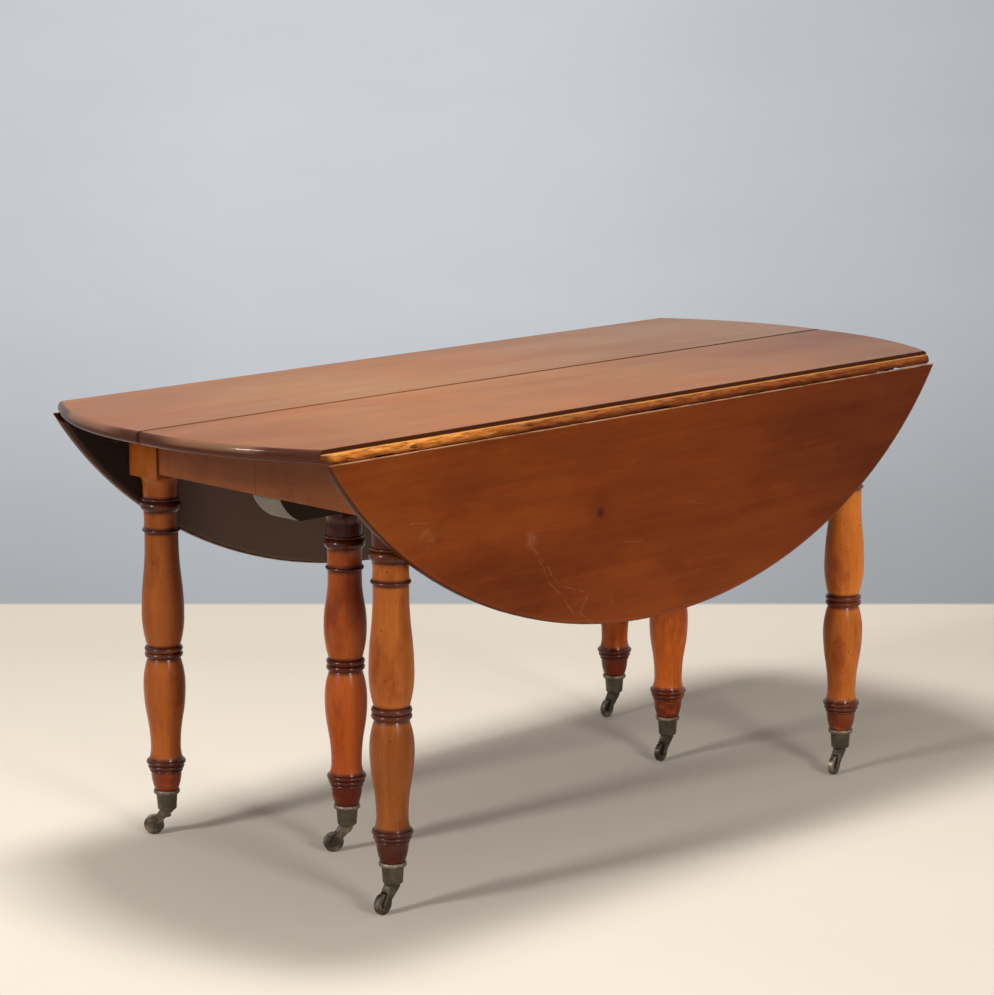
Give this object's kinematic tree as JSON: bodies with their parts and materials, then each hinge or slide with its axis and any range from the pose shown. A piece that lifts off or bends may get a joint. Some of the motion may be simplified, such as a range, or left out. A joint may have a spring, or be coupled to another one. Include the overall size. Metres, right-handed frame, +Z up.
{
  "type": "drop-leaf extension table",
  "caption": "Wooden dining table with two hanging half-oval leaves on rule joints, a top that pulls apart on runners, turned legs and brass castors.",
  "frame": {"origin": "on the floor under the middle of the table, halfway between the two middle legs", "axes": "+X along the table and its leaf hinges, -Y towards the front leaf, +Z up"},
  "size_m": [1.598, 0.6622, 0.74],
  "materials": {
    "walnut_top": "glossy varnish",
    "walnut_leaf": "glossy varnish",
    "leg_walnut": "semi-gloss varnish",
    "apron_walnut": "semi-gloss varnish",
    "inner_wood": "unfinished",
    "castor_brass": "dark aged",
    "castor_steel": "worn",
    "hinge_iron": "dark oxidised"
  },
  "bodies": {
    "centre": {"centre_bearer": "inner_wood", "centre_runners": "inner_wood", "leg_left_middle": "leg_walnut", "castor_cup_left_middle": "castor_brass", "leg_right_middle": "leg_walnut", "castor_cup_right_middle": "castor_brass"},
    "half_front": {"top_board_front": "walnut_top", "long_apron_front": "apron_walnut", "lopers_front": "inner_wood", "glue_blocks_front": "inner_wood", "runners_front": "inner_wood", "hinge_top_plates_front": "hinge_iron", "hinge_pins_front": "hinge_iron", "hinge_top_screws_front": "hinge_iron", "seam_dowels": "inner_wood", "end_apron_left_front": "apron_walnut", "leg_left_front": "leg_walnut", "castor_cup_left_front": "castor_brass", "end_apron_right_front": "apron_walnut", "leg_right_front": "leg_walnut", "castor_cup_right_front": "castor_brass"},
    "leaf_front": {"leaf_front": "walnut_leaf", "hinge_leaf_plates_front": "hinge_iron", "hinge_leaf_screws_front": "hinge_iron"},
    "half_back": {"top_board_back": "walnut_top", "long_apron_back": "apron_walnut", "lopers_back": "inner_wood", "glue_blocks_back": "inner_wood", "runners_back": "inner_wood", "hinge_top_plates_back": "hinge_iron", "hinge_pins_back": "hinge_iron", "hinge_top_screws_back": "hinge_iron", "end_apron_left_back": "apron_walnut", "leg_left_back": "leg_walnut", "castor_cup_left_back": "castor_brass", "end_apron_right_back": "apron_walnut", "leg_right_back": "leg_walnut", "castor_cup_right_back": "castor_brass"},
    "leaf_back": {"leaf_back": "walnut_leaf", "hinge_leaf_plates_back": "hinge_iron", "hinge_leaf_screws_back": "hinge_iron"},
    "castor_left_back": {"castor_fork_left_back": "castor_brass", "castor_axle_left_back": "castor_steel"},
    "wheel_left_back": {"castor_wheel_left_back": "castor_brass"},
    "castor_left_middle": {"castor_fork_left_middle": "castor_brass", "castor_axle_left_middle": "castor_steel"},
    "wheel_left_middle": {"castor_wheel_left_middle": "castor_brass"},
    "castor_left_front": {"castor_fork_left_front": "castor_brass", "castor_axle_left_front": "castor_steel"},
    "wheel_left_front": {"castor_wheel_left_front": "castor_brass"},
    "castor_right_back": {"castor_fork_right_back": "castor_brass", "castor_axle_right_back": "castor_steel"},
    "wheel_right_back": {"castor_wheel_right_back": "castor_brass"},
    "castor_right_middle": {"castor_fork_right_middle": "castor_brass", "castor_axle_right_middle": "castor_steel"},
    "wheel_right_middle": {"castor_wheel_right_middle": "castor_brass"},
    "castor_right_front": {"castor_fork_right_front": "castor_brass", "castor_axle_right_front": "castor_steel"},
    "wheel_right_front": {"castor_wheel_right_front": "castor_brass"}
  },
  "joints": [
    {"name": "front_half_pull", "type": "slide", "parent": "centre", "child": "half_front", "axis": [0, -1, 0], "range_m": [0, 0.25]},
    {"name": "front_leaf_hinge", "type": "hinge", "parent": "half_front", "child": "leaf_front", "pos_m": [0, -0.3107, 0.7196], "axis": [-1, 0, 0], "range_deg": [0, 90]},
    {"name": "back_half_pull", "type": "slide", "parent": "centre", "child": "half_back", "axis": [0, 1, 0], "range_m": [0, 0.25]},
    {"name": "back_leaf_hinge", "type": "hinge", "parent": "half_back", "child": "leaf_back", "pos_m": [0, 0.3107, 0.7196], "axis": [1, 0, 0], "range_deg": [0, 90]},
    {"name": "left_back_castor_swivel", "type": "hinge", "parent": "half_back", "child": "castor_left_back", "pos_m": [-0.541, 0.2735, 0.0445], "axis": [0, 0, 1], "continuous": true},
    {"name": "left_back_wheel_spin", "type": "hinge", "parent": "castor_left_back", "child": "wheel_left_back", "pos_m": [-0.55419, 0.29234, 0.0165], "axis": [-0.8192, -0.5736, 0], "continuous": true},
    {"name": "left_middle_castor_swivel", "type": "hinge", "parent": "centre", "child": "castor_left_middle", "pos_m": [-0.388, 0, 0.0445], "axis": [0, 0, 1], "continuous": true},
    {"name": "left_middle_wheel_spin", "type": "hinge", "parent": "castor_left_middle", "child": "wheel_left_middle", "pos_m": [-0.40792, 0.0115, 0.0165], "axis": [-0.5, -0.866, 0], "continuous": true},
    {"name": "left_front_castor_swivel", "type": "hinge", "parent": "half_front", "child": "castor_left_front", "pos_m": [-0.541, -0.2735, 0.0445], "axis": [0, 0, 1], "continuous": true},
    {"name": "left_front_wheel_spin", "type": "hinge", "parent": "castor_left_front", "child": "wheel_left_front", "pos_m": [-0.56391, -0.2755, 0.0165], "axis": [0.0872, -0.9962, 0], "continuous": true},
    {"name": "right_back_castor_swivel", "type": "hinge", "parent": "half_back", "child": "castor_right_back", "pos_m": [0.541, 0.2735, 0.0445], "axis": [0, 0, 1], "continuous": true},
    {"name": "right_back_wheel_spin", "type": "hinge", "parent": "castor_right_back", "child": "wheel_right_back", "pos_m": [0.51822, 0.2703, 0.0165], "axis": [0.1392, -0.9903, 0], "continuous": true},
    {"name": "right_middle_castor_swivel", "type": "hinge", "parent": "centre", "child": "castor_right_middle", "pos_m": [0.388, 0, 0.0445], "axis": [0, 0, 1], "continuous": true},
    {"name": "right_middle_wheel_spin", "type": "hinge", "parent": "castor_right_middle", "child": "wheel_right_middle", "pos_m": [0.3655, -0.00478, 0.0165], "axis": [0.2079, -0.9781, 0], "continuous": true},
    {"name": "right_front_castor_swivel", "type": "hinge", "parent": "half_front", "child": "castor_right_front", "pos_m": [0.541, -0.2735, 0.0445], "axis": [0, 0, 1], "continuous": true},
    {"name": "right_front_wheel_spin", "type": "hinge", "parent": "castor_right_front", "child": "wheel_right_front", "pos_m": [0.51859, -0.27867, 0.0165], "axis": [0.225, -0.9744, 0], "continuous": true}
  ]
}
